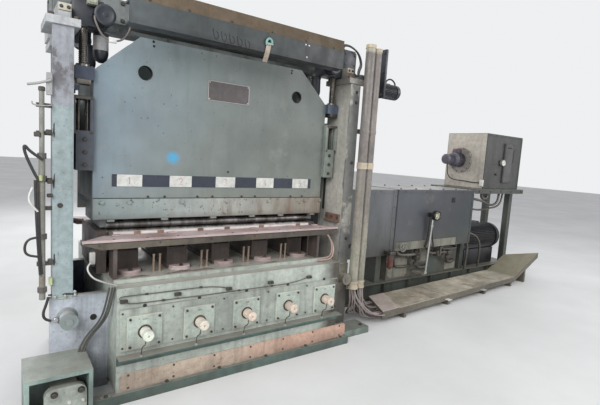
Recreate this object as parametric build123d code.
from build123d import *
import os

os.makedirs("parts", exist_ok=True)

# Driving sizes, mm. X runs along the rolls, Y with the strip, Z up from the floor
strip_width = 1650.0
spindle_pitch = 356.0
stand_depth = 640.0
floor_gap = 0.3
slide_gap = 6.0
pin_gap = 0.5

# Upper roll beam
plate_half = 942.0
plate_bottom = 1080.0
plate_height = 1220.0
plate_thick = 40.0
chamfer_run = 282.0
chamfer_drop = 261.0
eye_radius = 49.0
eye_x = 623.0
eye_drop = 229.0
lip_height = 138.0
lip_thick = 12.0
board_height = 82.0
board_rise = 221.0
board_thick = 4.0
name_width = 342.0
name_height = 145.0
name_rise = 942.0
name_thick = 3.0
shoe_low = 1632.0
shoe_high = 1870.0
shoe_wall = 22.0
shoe_front = 34.0
shoe_foot = 1405.0
shoe_foot_end = 1045.0

# Columns, side plates and portal
column_inner = 1075.0
column_width = 110.0
column_depth = 300.0
column_setout = 170.0
column_top = 2238.0
flange_thick = 30.0
side_top = 1900.0
window_low = 860.0
window_high = 1240.0
window_margin = 40.0
cap_thick = 44.0
cap_lip = 33.0
seat_height = 98.0
seat_width = 72.0
beam_half = 1152.0
beam_height = 156.0
beam_depth = 120.0
beam_front = 110.0
beam_wall = 16.0
gusset_top = 628.0
gusset_side = 12.0
gusset_thick = 60.0
boss_radius = 45.0
boss_out = 96.0
boss_height = 506.0

# Hanging front beam
hang_half = 815.0
hang_front = 350.0
hang_depth = 110.0
hang_low = 2288.0
hang_height = 138.0
hang_wall = 12.0
edge_height = 83.0
edge_thick = 22.0

# Height drive
case_length = 160.0
shaft_length = 280.0
bracket_thick = 28.0
bracket_fore = 165.0
bracket_back = 95.0
bracket_down = 190.0
bracket_up = 265.0
case_up = 200.0
case_down = 60.0
lift_shaft_radius = 52.0
lift_shaft_down = 36.0
lift_motor_down = 95.0
lift_motor_length = 305.0
lift_motor_radius = 75.0

# Screw jacks
jack_x = 1005.0
jack_half = 66.0
screw_radius = 26.0
beam_travel = 60.0
nut_height = 80.0
nut_clear = 10.0
collar_height = 30.0
collar_half = 42.0
gear_drop = 90.0
gear_height = 168.0
gear_inner = 870.0
jack_motor_radius = 62.0
jack_motor_length = 110.0
jack_motor_x = 905.0
cowl_x = 885.0
cowl_y = 99.0
cowl_radius = 47.0
cowl_drop = 185.0

# Lower bed
bed_half = 872.0
bed_setout = 420.0
bed_foot = 62.0
bed_deck = 705.0
bed_face_top = 723.0
bed_lip_top = 750.0
bed_lip_setout = 330.0
bed_wall = 60.0
rail_half = 1008.0
rail_width = 60.0
rail_setout = 446.0
panel_thick = 14.0
panel_low = 330.0
panel_high = 592.0
square_side = 212.0
square_thick = 12.0
spindle_height = 443.0
spindle_radius = 33.0
spindle_out = 92.0
ledge_out = 74.0
ledge_top = 302.0
ledge_thick = 10.0
ledge_drop = 60.0
sheet_low = 68.0
sheet_high = 182.0
sheet_thick = 4.0

# Foot boxes
foot_half = 168.0
foot_top = 290.0
foot_x = 1176.0
foot_out = 310.0
foot_plate = 22.0
foot_hollow = 190.0
foot_cover_x = -1144.0
foot_cover_side = 216.0
foot_cover_high = 176.0
foot_cover_round = 50.0
foot_cover_recess = 25.0
foot_cover_thick = 40.0
block_in = 1020.0
block_out = 1340.0
block_depth = 188.0
block_top = 60.0

# Tables
table_top = 975.0
table_half = 1028.0
table_setout = 185.0
table_drop = 62.0
table_back = -34.0
table_thick = 16.0

# Rolls
roll_rows = 10
roll_margin = 60.0
roll_gap = 4.0
pass_line = 1003.0
pass_gap = 8.0
roll_half = 850.0
backup_radius = 26.0
backup_half = 64.0
guide_radius = 18.0

# Drive
drive_front = 150.0
drive_depth = 560.0
guard_start = 1246.0
guard_end = 2150.0
guard_low = 552.0
gearbox_end = 3600.0
gearbox_low = 590.0
gearbox_step = 10.0
drive_top = 1275.0
plinth_top = 205.0
plinth_setback = 125.0
motor_start = 3863.0
motor_length = 900.0
motor_front = 200.0
motor_depth = 600.0
motor_low = 1297.0
motor_high = 2041.0
motor_cover = 22.0
blower_y = 560.0
blower_z = 1669.0
blower_radius = 172.0
blower_flange = 30.0
blower_body = 190.0
blower_motor = 152.0
main_motor_radius = 190.0
main_motor_z = 580.0

# Oil fittings on the drive, measured from the seam between guard and gearbox
gauge_run = 580.0
gauge_z = 990.0
wheel_run = 90.0
wheel_z = 640.0
bottle_back = 100.0
bottle_z = 420.0

# Left side pipe
pipe_low = 640.0
pipe_joint = 1470.0
pipe_high = 1874.0
pipe_radius = 17.0
pipe_thin = 13.5
pipe_out = 53.0

# Conduits and cable tray
conduit_radius = 42.0
conduit_small = 34.0
conduit_step = 90.0
conduit_low = 400.0
conduit_high = 2578.0
conduit_out = 33.0
conduit_y = -230.0
clamp_low = 765.0
clamp_high = 1812.0
tray_x = 1588.0
tray_y = -292.0
tray_turn = 3.0
tray_top = 132.0
tray_wall = 72.0
tray_length = 2720.0
tray_width = 392.0
tray_skew = 225.0
tray_foot_start = 350.0
tray_foot_pitch = 800.0
tray_foot_end = 80.0
tray_foot_wide = 40.0
ramp_length = 670.0
ramp_far_length = 450.0
ramp_rise = 268.0
bundle_depth = 70.0
bundle_front = -268.0

mid = stand_depth / 2
roll_pitch = (stand_depth - 2 * roll_margin) / roll_rows
roll_radius = (roll_pitch - roll_gap) / 2
roll_y0 = roll_margin
plate_top = plate_bottom + plate_height
outer = column_inner + column_width
column_front = -column_setout
rear_flange = stand_depth + column_setout
web_out = column_inner + flange_thick
beam_z = column_top + cap_thick + seat_height
collar_low = shoe_high + beam_travel + nut_clear
nut_low = collar_low + collar_height
spindle_xs = [k * spindle_pitch for k in range(-2, 3)]


def block(x0, x1, y0, y1, z0, z1):
    return Pos((x0 + x1) / 2, (y0 + y1) / 2, (z0 + z1) / 2) * Box(x1 - x0, y1 - y0, z1 - z0)


def rod_x(r, x0, x1, y, z):
    return Pos((x0 + x1) / 2, y, z) * Rot(0, 90, 0) * Cylinder(r, x1 - x0)


def rod_y(r, y0, y1, x, z):
    return Pos(x, (y0 + y1) / 2, z) * Rot(90, 0, 0) * Cylinder(r, y1 - y0)


def rod_z(r, z0, z1, x, y):
    return Pos(x, y, (z0 + z1) / 2) * Cylinder(r, z1 - z0)


def prism_y(points, y0, y1):
    face = Plane.XZ * make_face(Polyline(*points, close=True))
    return Pos(0, y0, 0) * extrude(face, -(y1 - y0))


def prism_z(points, z0, z1):
    return Pos(0, 0, z0) * extrude(make_face(Polyline(*points, close=True)), z1 - z0)


def left_too(*shapes):
    return list(shapes) + [mirror(s, about=Plane.YZ) for s in shapes]


def rear_too(*shapes):
    across = Plane(origin=(0, mid, 0), z_dir=(0, 1, 0))
    return list(shapes) + [mirror(s, about=across) for s in shapes]


def save(name, *shapes):
    solids = []
    for s in shapes:
        solids += list(s.solids())
    export_step(Compound(solids), "parts/" + name + ".step")


# Base rails on the floor, front and rear, with cross members between them
front_rail = block(-rail_half, rail_half, -rail_setout, -rail_setout + rail_width, 0, bed_foot)
save("base_rails", *rear_too(front_rail))
cross_y0 = -rail_setout + rail_width
cross = []
for x in (-2 * spindle_pitch, 0, 2 * spindle_pitch):
    cross.append(block(x - rail_width / 2, x + rail_width / 2, cross_y0, stand_depth - cross_y0, 0, bed_foot))
save("base_cross_members", *cross)


# Lower bed: a box of thick plate, open below, with stepped lips along the deck
def bed_shape():
    bed = block(-bed_half, bed_half, -bed_setout, stand_depth + bed_setout, bed_foot, bed_deck)
    inside_x = bed_half - bed_wall
    inside_y = -bed_setout + bed_wall
    bed -= block(-inside_x, inside_x, inside_y, stand_depth - inside_y, bed_foot - 1, bed_deck - bed_wall)
    face_lip = block(-bed_half, bed_half, -bed_setout, -bed_lip_setout, bed_deck - 1, bed_face_top)
    deck_lip = block(-bed_half, bed_half, -bed_lip_setout - 1, -bed_lip_setout + 24, bed_deck - 1, bed_lip_top)
    for lip in rear_too(face_lip, deck_lip):
        bed += lip
    return bed


save("lower_bed", bed_shape())

# Raised panel along the bed face that carries the five spindle plates
panel_y = -bed_setout - panel_thick
square_y = panel_y - square_thick
panel = block(-bed_half + panel_thick, bed_half - panel_thick, panel_y, -bed_setout, panel_low, panel_high)
save("spindle_panel", panel)


# Five square plates, bored for the adjusting spindles, with a level slot above each bore
def square_plate(x):
    half = square_side / 2
    p = block(x - half, x + half, square_y, panel_y, spindle_height - half, spindle_height + half)
    p -= rod_y(spindle_radius + pin_gap, square_y - 1, panel_y + 1, x, spindle_height)
    p -= block(x - 14, x + 14, square_y - 1, square_y + 8, spindle_height + 74, spindle_height + 84)
    return p


save("spindle_plates", *[square_plate(x) for x in spindle_xs])
spindles = [rod_y(spindle_radius, square_y - spindle_out, panel_y, x, spindle_height) for x in spindle_xs]
save("adjusting_spindles", *spindles)

# Angle rail under the plates
ledge_y = -bed_setout - ledge_out
ledge = block(-bed_half, bed_half, ledge_y, -bed_setout, ledge_top - ledge_thick, ledge_top)
ledge += block(-bed_half, bed_half, -bed_setout - ledge_thick, -bed_setout,
               ledge_top - ledge_drop, ledge_top - ledge_thick + 1)
save("front_ledge", ledge)

# Cover sheet over the lower front of the bed, running on past its right end
sheet = block(-bed_half + 20, bed_half + 110, -bed_setout - sheet_thick, -bed_setout, sheet_low, sheet_high)
save("cover_sheet", sheet)


# Uprights: L-shaped columns of thick plate, the front pair with a gusset and a boss toward the bed
def front_upright():
    flange_y = column_front + flange_thick
    c = block(column_inner, outer, column_front, flange_y, 0, column_top)
    c += block(column_inner, web_out, column_front, column_front + column_depth, 0, column_top)
    g = block(bed_half, outer + gusset_side, column_front, column_front + gusset_thick, 0, gusset_top)
    g -= block(column_inner - 60, column_inner + 84, column_front - 1, column_front + 40, foot_top - 90, foot_top - 2)
    g += rod_y(boss_radius, column_front - boss_out, column_front + 5, web_out, boss_height)
    return c + g


def rear_upright():
    flange_in = column_inner - flange_thick
    c = block(flange_in, web_out, rear_flange - flange_thick, rear_flange, 0, column_top)
    c += block(column_inner, web_out, rear_flange - column_depth, rear_flange, 0, column_top)
    c += block(bed_half, column_inner + 1, rear_flange - gusset_thick, rear_flange, 0, gusset_top)
    return c


save("front_columns", *left_too(front_upright()))
save("rear_columns", *left_too(rear_upright()))

# Side plates between the uprights, with a window for the roll ends and the drive shafts
side_y0 = column_front + column_depth
side_y1 = rear_flange - column_depth
side = block(column_inner, web_out, side_y0, side_y1, bed_foot, side_top)
side -= block(column_inner - 1, web_out + 1, side_y0 + window_margin, side_y1 - window_margin,
              window_low, window_high)
save("side_plates", *left_too(side))


# Left foot box, open in front, with a rounded cover inside, and the low foot block on the right
def foot_box():
    y0 = column_front - foot_out
    f = block(-foot_x - foot_half, -foot_x + foot_half, y0, column_front, 0, foot_top)
    f -= block(-foot_x - foot_half + foot_plate, -foot_x + foot_half - foot_plate, y0 - 1, y0 + foot_hollow,
               foot_plate, foot_top - foot_plate)
    return f


foot_back = column_front - foot_out + foot_hollow
save("foot_box", foot_box())
cover_y = column_front - foot_out + foot_cover_recess
cover_z = foot_plate + 4 + foot_cover_high / 2
cover_plan = Plane.XZ * RectangleRounded(foot_cover_side, foot_cover_high, foot_cover_round)
cover = Pos(foot_cover_x, cover_y, cover_z) * extrude(cover_plan, -foot_cover_thick)
cover += block(foot_cover_x - 70, foot_cover_x + 70, cover_y + foot_cover_thick - 1, foot_back, foot_plate + 30,
               foot_plate + 150)
save("foot_cover", cover)
save("foot_block", block(block_in, block_out, column_front - block_depth, column_front, 0, block_top))

# Caps on the columns with the seats that carry the crossbeams
cap_y0 = column_front - 14
cap_y1 = column_front + column_depth + 14
cap = block(column_inner - cap_lip, outer + cap_lip, cap_y0, cap_y1, column_top, column_top + cap_thick)
seat = block(column_inner + 4, column_inner + 4 + seat_width, -96, cap_y1, column_top + cap_thick, beam_z)
rear_cap = block(column_inner - cap_lip, web_out + cap_lip, stand_depth - cap_y1, stand_depth - cap_y0,
                 column_top, column_top + cap_thick)
rear_cap += rear_too(seat)[1]
save("column_caps", *left_too(cap + seat, rear_cap))


# Crossbeams of the portal: channels open toward the middle, front and rear, tied by two side beams
def crossbeam():
    b = block(-beam_half, beam_half, beam_front, beam_front + beam_depth, beam_z, beam_z + beam_height)
    b -= block(-beam_half - 1, beam_half + 1, beam_front + beam_wall, beam_front + beam_depth + 1,
               beam_z + beam_wall, beam_z + beam_height - beam_wall)
    return b


side_beam = block(beam_half - 90, beam_half, beam_front + beam_depth, stand_depth - beam_front - beam_depth,
                  beam_z, beam_z + beam_height)
save("crossbeams", *rear_too(crossbeam()))
save("side_beams", *left_too(side_beam))


# Hanging front beam, a channel with two arms back to the crossbeam, and the board along its top
def hanging_beam():
    y1 = -hang_front + hang_depth
    h = block(-hang_half, hang_half, -hang_front, y1, hang_low, hang_low + hang_height)
    h -= block(-hang_half - 1, hang_half + 1, -hang_front + hang_wall, y1 + 1,
               hang_low + hang_wall, hang_low + hang_height - hang_wall)
    for x in (-2 * spindle_pitch, 0, 2 * spindle_pitch):
        h += block(x - 6, x + 6, -hang_front + hang_wall - 1, y1 - 4,
                   hang_low + hang_wall - 1, hang_low + hang_height - hang_wall + 1)
    arm = block(hang_half - 175, hang_half - 115, y1, beam_front, beam_z + 16, hang_low + hang_height)
    for s in left_too(arm):
        h += s
    return h


save("front_beam", hanging_beam())
board_z = hang_low + hang_height
save("edge_board", block(-hang_half, hang_half, -hang_front + 6, -hang_front + 6 + edge_thick,
                         board_z, board_z + edge_height))

# Screw jacks at the four corners: a gearbox hung on the crossbeam, its motor, the screw and its collar
gear_low = beam_z - gear_drop
gear_high = gear_low + gear_height
gear_y = -jack_half + screw_radius
screw = rod_z(screw_radius, collar_low, gear_low, jack_x, 0)
screw += block(jack_x - collar_half, jack_x + collar_half, -collar_half, collar_half, collar_low, nut_low)
save("jack_screws", *rear_too(*left_too(screw)))
gear = block(gear_inner, jack_x + jack_half, gear_y, beam_front, gear_low, gear_high)
jack_motor = rod_y(jack_motor_radius, gear_y - jack_motor_length, gear_y + 1, jack_motor_x, gear_low + jack_motor_radius)
cowl = block(cowl_x - 40, cowl_x + 40, cowl_y - 40, beam_front, gear_low - 1, gear_low + 1)
cowl += rod_z(cowl_radius, gear_low - cowl_drop, gear_low, cowl_x, cowl_y)
save("jack_drives", *rear_too(*left_too(gear + jack_motor + cowl)))


# Height drive on the right end of the portal: case, shaft, bracket plate and motor
def height_drive():
    y = beam_front
    x1 = beam_half + case_length
    x2 = x1 + shaft_length
    x3 = x2 + bracket_thick
    d = block(beam_half, x1, y - case_down, y + beam_depth, beam_z - case_down, beam_z + case_up)
    d += rod_x(lift_shaft_radius, x1 - 1, x2, y - 10, beam_z - lift_shaft_down)
    d += block(x2 - 1, x3, y - bracket_fore, y + bracket_back, beam_z - bracket_down, beam_z + bracket_up)
    d += rod_x(lift_motor_radius, x3 - 1, x3 + lift_motor_length, y - 20, beam_z - lift_motor_down)
    return d


save("height_drive", height_drive())


# Entry and exit tables: a plate that narrows toward the rolls, with a bar along its outer edge
def table_shape():
    top = [(-table_half, -table_setout), (table_half, -table_setout), (table_half - 150, table_back),
           (-table_half + 150, table_back)]
    low = table_top - table_drop
    bar = [(-table_half, table_top), (table_half, table_top), (table_half, table_top - table_thick),
           (table_half - 110, low), (-table_half + 110, low), (-table_half, table_top - table_thick)]
    t = prism_z(top, table_top - table_thick, table_top)
    return t + prism_y(bar, -table_setout, -table_setout + 20)


save("entry_table", table_shape())
save("exit_table", rear_too(table_shape())[1])

# Table legs and the brackets and roll at the strip mouth
leg_x = 2.3 * spindle_pitch
leg = block(leg_x, leg_x + 24, -table_setout + 20, table_back - 6, bed_deck, table_top - table_thick)
guide_z = pass_line - pass_gap - guide_radius
guide = rod_x(guide_radius, -roll_half + 30, roll_half - 30, -8, guide_z)
bracket = block(roll_half - 30, roll_half - 6, table_back, 20, table_top - 60, pass_line - pass_gap)
save("guide_rolls", *rear_too(guide))
save("table_supports", *rear_too(*left_too(leg, bracket)))

# Heights of the work, intermediate and back-up rolls, nested line on line
nest = 1.86 * roll_radius
back_nest = 0.93 * (roll_radius + backup_radius)
low_work = pass_line - pass_gap / 2 - roll_radius
low_mid = low_work - nest
low_back = low_mid - back_nest
up_work = pass_line + pass_gap / 2 + roll_radius
up_mid = up_work + nest


def roll_set(z_work, z_mid, rows):
    first = mid - roll_pitch * (rows - 1) / 2
    works = [rod_x(roll_radius, -roll_half, roll_half, first + k * roll_pitch, z_work) for k in range(rows)]
    mids = [rod_x(roll_radius - 1, -roll_half, roll_half, first + (k + 0.5) * roll_pitch, z_mid)
            for k in (0, rows - 2)]
    return works, mids


works, mids = roll_set(low_work, low_mid, roll_rows)
save("lower_work_rolls", *works)
save("lower_back_rolls", *mids)


# Lower back-up carriers on their wedge pads, each with two outer rows of back-up rollers, and end chocks
def carrier(x):
    y0 = roll_y0 - 30
    c = block(x - 76, x + 76, y0, stand_depth - y0, bed_deck, low_back - backup_radius - 8)
    c += block(x - 90, x + 90, -20, stand_depth + 20, bed_deck, bed_deck + 22)
    for s in (-1, 1):
        c += block(x + s * 70 - 6, x + s * 70 + 6, y0, stand_depth - y0, bed_deck, low_back + 12)
    return c


rollers = []
for x in spindle_xs:
    for y in (roll_y0 + 1.5 * roll_pitch, stand_depth - roll_y0 - 1.5 * roll_pitch):
        rollers.append(rod_x(backup_radius - 2, x - backup_half, x + backup_half, y, low_back))
save("backup_rollers", *rollers)
chock = block(roll_half, roll_half + 60, roll_y0 - 40, stand_depth - roll_y0 + 40,
              bed_deck, low_work + roll_radius - 6)
save("lower_roll_frame", *[carrier(x) for x in spindle_xs], *left_too(chock))

# Upper roll beam: front and rear plates with lifting eyes
outline = [(-plate_half, plate_bottom), (plate_half, plate_bottom),
           (plate_half, plate_top - chamfer_drop), (plate_half - chamfer_run, plate_top),
           (-plate_half + chamfer_run, plate_top), (-plate_half, plate_top - chamfer_drop)]
plate = prism_y(outline, 0, plate_thick)
for x in (-eye_x, eye_x):
    plate -= rod_y(eye_radius, -1, plate_thick + 1, x, plate_top - eye_drop)
save("front_plate", plate)
save("rear_plate", rear_too(plate)[1])


# Upper frame between the plates: floor plate with roll hangers, and the webs and end plates on it
frame_y0 = plate_thick
frame_y1 = stand_depth - plate_thick
frame_z = plate_bottom + 120
web_z = frame_z + 40


def upper_frame():
    f = block(-plate_half + 30, plate_half - 30, frame_y0, frame_y1, frame_z, web_z)
    for x in spindle_xs:
        for s in (-1, 1):
            f += block(x + s * 70 - 6, x + s * 70 + 6, frame_y0, frame_y1, up_mid + roll_radius, frame_z + 1)
    for s in (-1, 1):
        x = s * (roll_half + 20)
        f += block(x - 20, x + 20, frame_y0, frame_y1, up_work - 12, frame_z + 1)
    return f


save("upper_frame", upper_frame())
webs = [block(x - 15, x + 15, frame_y0, frame_y1, web_z, plate_top - 60) for x in spindle_xs]
end_web = block(plate_half - 30, plate_half, frame_y0, frame_y1, frame_z, plate_top - chamfer_drop - 20)
save("upper_webs", *webs, *left_too(end_web))
works, mids = roll_set(up_work, up_mid, roll_rows + 1)
save("upper_work_rolls", *works)
save("upper_back_rolls", *mids)

# Bolted lip, scale board and bare nameplate on the front plate
save("lip_strip", block(-plate_half, plate_half, -lip_thick, 0, plate_bottom, plate_bottom + lip_height))
board_low = plate_bottom + board_rise
save("scale_board", block(-strip_width / 2, strip_width / 2, -board_thick, 0, board_low, board_low + board_height))
name_low = plate_bottom + name_rise - name_height / 2
save("nameplate", block(-name_width / 2, name_width / 2, -name_thick, 0, name_low, name_low + name_height))

# Guide shoes and jack nuts on the ends of the upper beam
shoe_end = column_inner - slide_gap
shoe = block(plate_half, shoe_end, -shoe_front, plate_thick + shoe_front, shoe_low, shoe_high)
shoe -= block(plate_half + shoe_wall, shoe_end - shoe_wall, -shoe_front - 1, plate_thick + shoe_front + 1,
              shoe_low + shoe_wall, shoe_high - shoe_wall)
shoe += block(plate_half, shoe_foot_end, -shoe_front, plate_thick + shoe_front, shoe_foot, shoe_low + 1)
save("guide_shoes", *rear_too(*left_too(shoe)))
nut = block(plate_half, jack_x + 48, -36, plate_thick + 20, nut_low, nut_low + nut_height)
nut -= rod_z(screw_radius + pin_gap, nut_low - 1, nut_low + nut_height + 1, jack_x, 0)
save("jack_nuts", *rear_too(*left_too(nut)))

# Joint guard with a neck to the stand's window, pinion gearbox on a recessed foot, plinth and legs
drive_rear = drive_front + drive_depth
guard = block(guard_start, guard_end, drive_front, drive_rear, guard_low, drive_top)
guard += block(web_out, guard_start + 1, side_y0 + window_margin - 15, side_y1 - window_margin + 15,
               window_low - 15, window_high + 15)
save("joint_guard", guard)
gearbox = block(guard_end, gearbox_end, drive_front - gearbox_step, drive_rear + gearbox_step,
                gearbox_low, drive_top)
gearbox += block(guard_end + 60, gearbox_end - 60, drive_front + plinth_setback, drive_rear - 60,
                 plinth_top, gearbox_low + 1)
save("pinion_gearbox", gearbox)
motor_end = motor_start + motor_length
motor_rear = motor_front + motor_depth
stand_end = motor_end + 60


def drive_base():
    b = block(outer + gusset_side, stand_end, drive_front + plinth_setback, drive_rear, 0, plinth_top)
    for x in (guard_start + 40, guard_end - 120):
        b += block(x, x + 80, drive_front + plinth_setback, drive_rear - 60, plinth_top - 1, guard_low)
    b += block(gearbox_end, stand_end, motor_front - 60, motor_rear + 30, motor_low - 46, motor_low)
    for x in (gearbox_end + 20, stand_end - 100):
        for y in (drive_front + plinth_setback, drive_rear - 90):
            b += block(x, x + 80, y, y + 80, plinth_top - 1, motor_low - 45)
    return b


save("drive_base", drive_base())
motor_y = drive_front + plinth_setback + (drive_depth - plinth_setback) / 2
main_motor = rod_x(main_motor_radius, gearbox_end + 110, stand_end - 160, motor_y, main_motor_z)
main_motor += rod_x(60, gearbox_end, gearbox_end + 111, motor_y, main_motor_z)
main_motor += block(gearbox_end + 200, stand_end - 300, motor_y - 150, motor_y + 150, plinth_top, main_motor_z)
save("main_motor", main_motor)

# Motor housing with a raised cover, and the blower on its left face
cover_x = motor_start + 0.48 * motor_length
housing = block(motor_start, motor_end, motor_front, motor_rear, motor_low, motor_high)
housing += block(cover_x, cover_x + 210, motor_front - motor_cover, motor_front + 1, motor_low + 90, motor_high - 110)
save("motor_housing", housing)
flange_x = motor_start - blower_flange
body_x = flange_x - blower_body
blower = rod_x(blower_radius, flange_x, motor_start, blower_y, blower_z)
blower += rod_x(96, body_x, flange_x + 1, blower_y, blower_z)
blower += rod_x(68, body_x - blower_motor, body_x + 1, blower_y, blower_z)
save("blower", blower)


# Sight gauge on its stem, filter bottle and valve wheel on the drive front
def sight_gauge(x, z):
    g = rod_y(60, drive_front - 130, drive_front - 84, x, z)
    return g + block(x - 16, x + 16, drive_front - 90, drive_front - gearbox_step, z - 16, z + 16)


def filter_bottle(x, z):
    b = rod_z(38, z, z + 150, x, drive_front - 62)
    return b + block(x - 40, x + 40, drive_front - 100, drive_front, z + 149, z + 190)


def valve_wheel(x, z):
    w = rod_y(54, drive_front - 78, drive_front - 58, x, z)
    return w + block(x - 10, x + 10, drive_front - 59, drive_front - gearbox_step, z - 10, z + 10)


save("oil_fittings", sight_gauge(guard_end + gauge_run, gauge_z), filter_bottle(guard_end - bottle_back, bottle_z),
     valve_wheel(guard_end + wheel_run, wheel_z))

# Conduits beside the right front column, and the saddles that hold them to it
conduit_x = outer + conduit_out
small_x = conduit_x + conduit_step
save("conduits", rod_z(conduit_radius, conduit_low, conduit_high, conduit_x, conduit_y),
     rod_z(conduit_small, conduit_low, conduit_high - 20, small_x, conduit_y))


def saddle(z):
    y = conduit_y + conduit_radius + floor_gap
    s = block(outer, small_x + conduit_small, y, y + 30, z, z + 40)
    return s + block(small_x - 30, small_x + 30, conduit_y + conduit_small + floor_gap, y + 1, z, z + 40)


# Left side pipe of two sizes, and its saddles
pipe_x = -outer - pipe_out
pipe_y = column_front - 10
side_pipe = rod_z(pipe_radius, pipe_low, pipe_joint, pipe_x, pipe_y)
side_pipe += rod_z(pipe_thin, pipe_joint, pipe_high, pipe_x, pipe_y)
save("side_pipes", side_pipe)


def pipe_saddle(z, radius):
    return block(pipe_x - 26, -outer, pipe_y + radius + floor_gap, column_front + flange_thick, z, z + 24)


pipe_run = pipe_joint - pipe_low
thin_run = pipe_high - pipe_joint
save("pipe_clamps", saddle(clamp_low), saddle(clamp_high),
     *[pipe_saddle(pipe_low + k * pipe_run, pipe_radius) for k in (0.24, 0.64, 0.84)],
     *[pipe_saddle(pipe_joint + k * thin_run, pipe_thin) for k in (0.34, 0.73)])


# Cable tray: a covered flat run along the drive on feet, slanted at its start, and a ramp at its far end
def cable_tray():
    low = tray_top - tray_wall
    end = tray_length
    flat = prism_z([(0, 0), (end, 0), (end, tray_width), (tray_skew, tray_width)], low, tray_top)
    side_view = [(end - 1, low), (end - 1, tray_top), (end + ramp_length, tray_top + ramp_rise),
                 (end + ramp_length, tray_top + ramp_rise - tray_wall)]
    plan = [(end - 1, 0), (end + ramp_length, 0), (end + ramp_far_length, tray_width), (end - 1, tray_width)]
    ramp = prism_y(side_view, 0, tray_width) & prism_z(plan, 0, tray_top + ramp_rise)
    t = flat + ramp
    last = end - tray_foot_end
    between = int((last - tray_foot_wide - tray_foot_start) // tray_foot_pitch) + 1
    for x in [tray_foot_start + k * tray_foot_pitch for k in range(between)] + [last]:
        t += block(x, x + tray_foot_wide, 10, tray_width - 10, 0, low + 1)
    foot_far = end + ramp_far_length - 120
    foot_high = low + ramp_rise * (ramp_far_length - 120) / ramp_length
    t += block(foot_far, foot_far + tray_foot_wide, 20, tray_width - 20, 0, foot_high)
    return Pos(tray_x, tray_y, 0) * Rot(0, 0, tray_turn) * t


tray = cable_tray()
save("cable_tray", tray)


# Bundle of cables that drops out of the conduits and bends into the tray's open start
def cable_bundle():
    low = tray_top - tray_wall
    x0 = conduit_x - conduit_radius + 8
    x1 = small_x
    into = tray_x + 120
    band = [(x0, conduit_low), (x1, conduit_low), (x1 + 8, conduit_low - 160), (x1 + 70, low + 110), (x1 + 150, low + 68),
            (into, low + 65), (into, low + 6), (x1 + 60, low + 12), (x0 + 75, low + 75), (x0 + 20, conduit_low - 200)]
    tube = prism_y(band, bundle_front, bundle_front + bundle_depth)
    past = prism_z([(0, 0), (900, 0), (900, tray_width), (tray_skew, tray_width)], -1, tray_top + 50)
    return tube - Pos(tray_x, tray_y, 0) * Rot(0, 0, tray_turn) * past


save("cable_bundle", cable_bundle())
